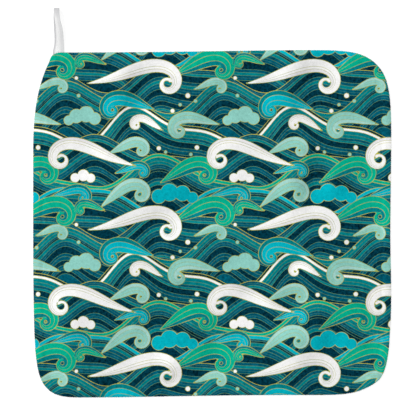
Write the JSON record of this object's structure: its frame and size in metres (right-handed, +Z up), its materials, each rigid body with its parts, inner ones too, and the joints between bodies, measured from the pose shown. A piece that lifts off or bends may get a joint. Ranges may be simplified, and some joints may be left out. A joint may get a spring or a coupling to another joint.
{
  "type": "hand towel",
  "caption": "Square plush hand towel with rounded corners, a printed face and a folded tape loop at one corner to hang it by.",
  "frame": {"origin": "middle of the cloth's outline, on its flat underside", "axes": "+Z up out of the printed face, +Y towards the edge that has the loop, +X to the right as seen from above the printed face"},
  "size_m": [0.3, 0.326, 0.0071],
  "materials": {
    "printed_plush": "soft short pile, printed in greens and blues with white",
    "white_tape": "narrow woven tape, white, slight sheen"
  },
  "bodies": {
    "root": {"towel": "printed_plush", "hanging_loop": "white_tape"}
  },
  "joints": []
}
